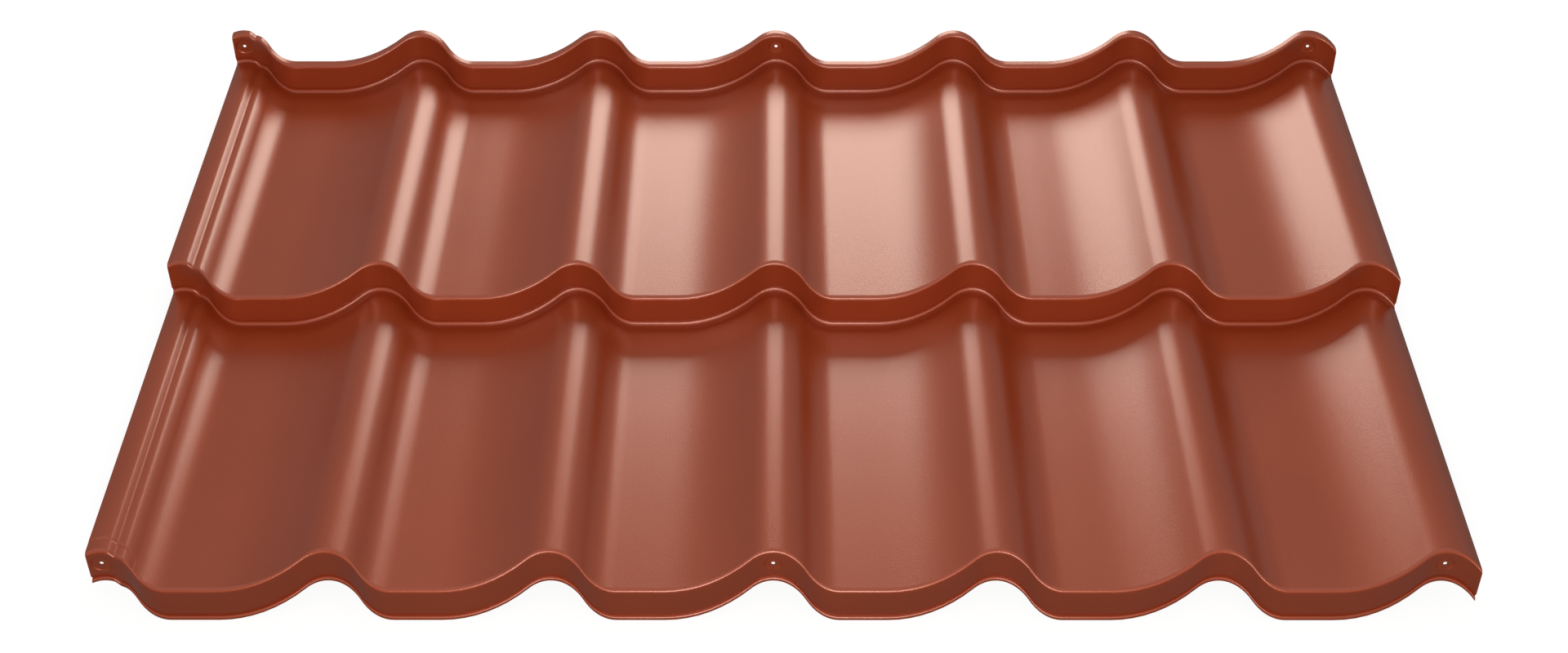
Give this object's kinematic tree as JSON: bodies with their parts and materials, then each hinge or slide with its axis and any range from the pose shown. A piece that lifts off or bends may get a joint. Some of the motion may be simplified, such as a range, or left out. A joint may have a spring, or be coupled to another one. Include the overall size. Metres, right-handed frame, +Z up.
{
  "type": "metal roof tile sheet",
  "caption": "Coated steel roofing sheet rolled into tile-shaped waves and pressed into stepped courses, with a side lap and screw holes in its risers.",
  "frame": {"origin": "centre of the sheet's footprint, on the plane of its lowest feet", "axes": "+X across the waves, from the lapped-under left side to the right side; +Y up the roof from eave to ridge; +Z up"},
  "size_m": [1.1384, 0.7328, 0.0587],
  "materials": {
    "coated_steel": "terracotta red fine-textured coating, satin"
  },
  "bodies": {
    "root": {"tile_sheet": "coated_steel"}
  },
  "joints": []
}
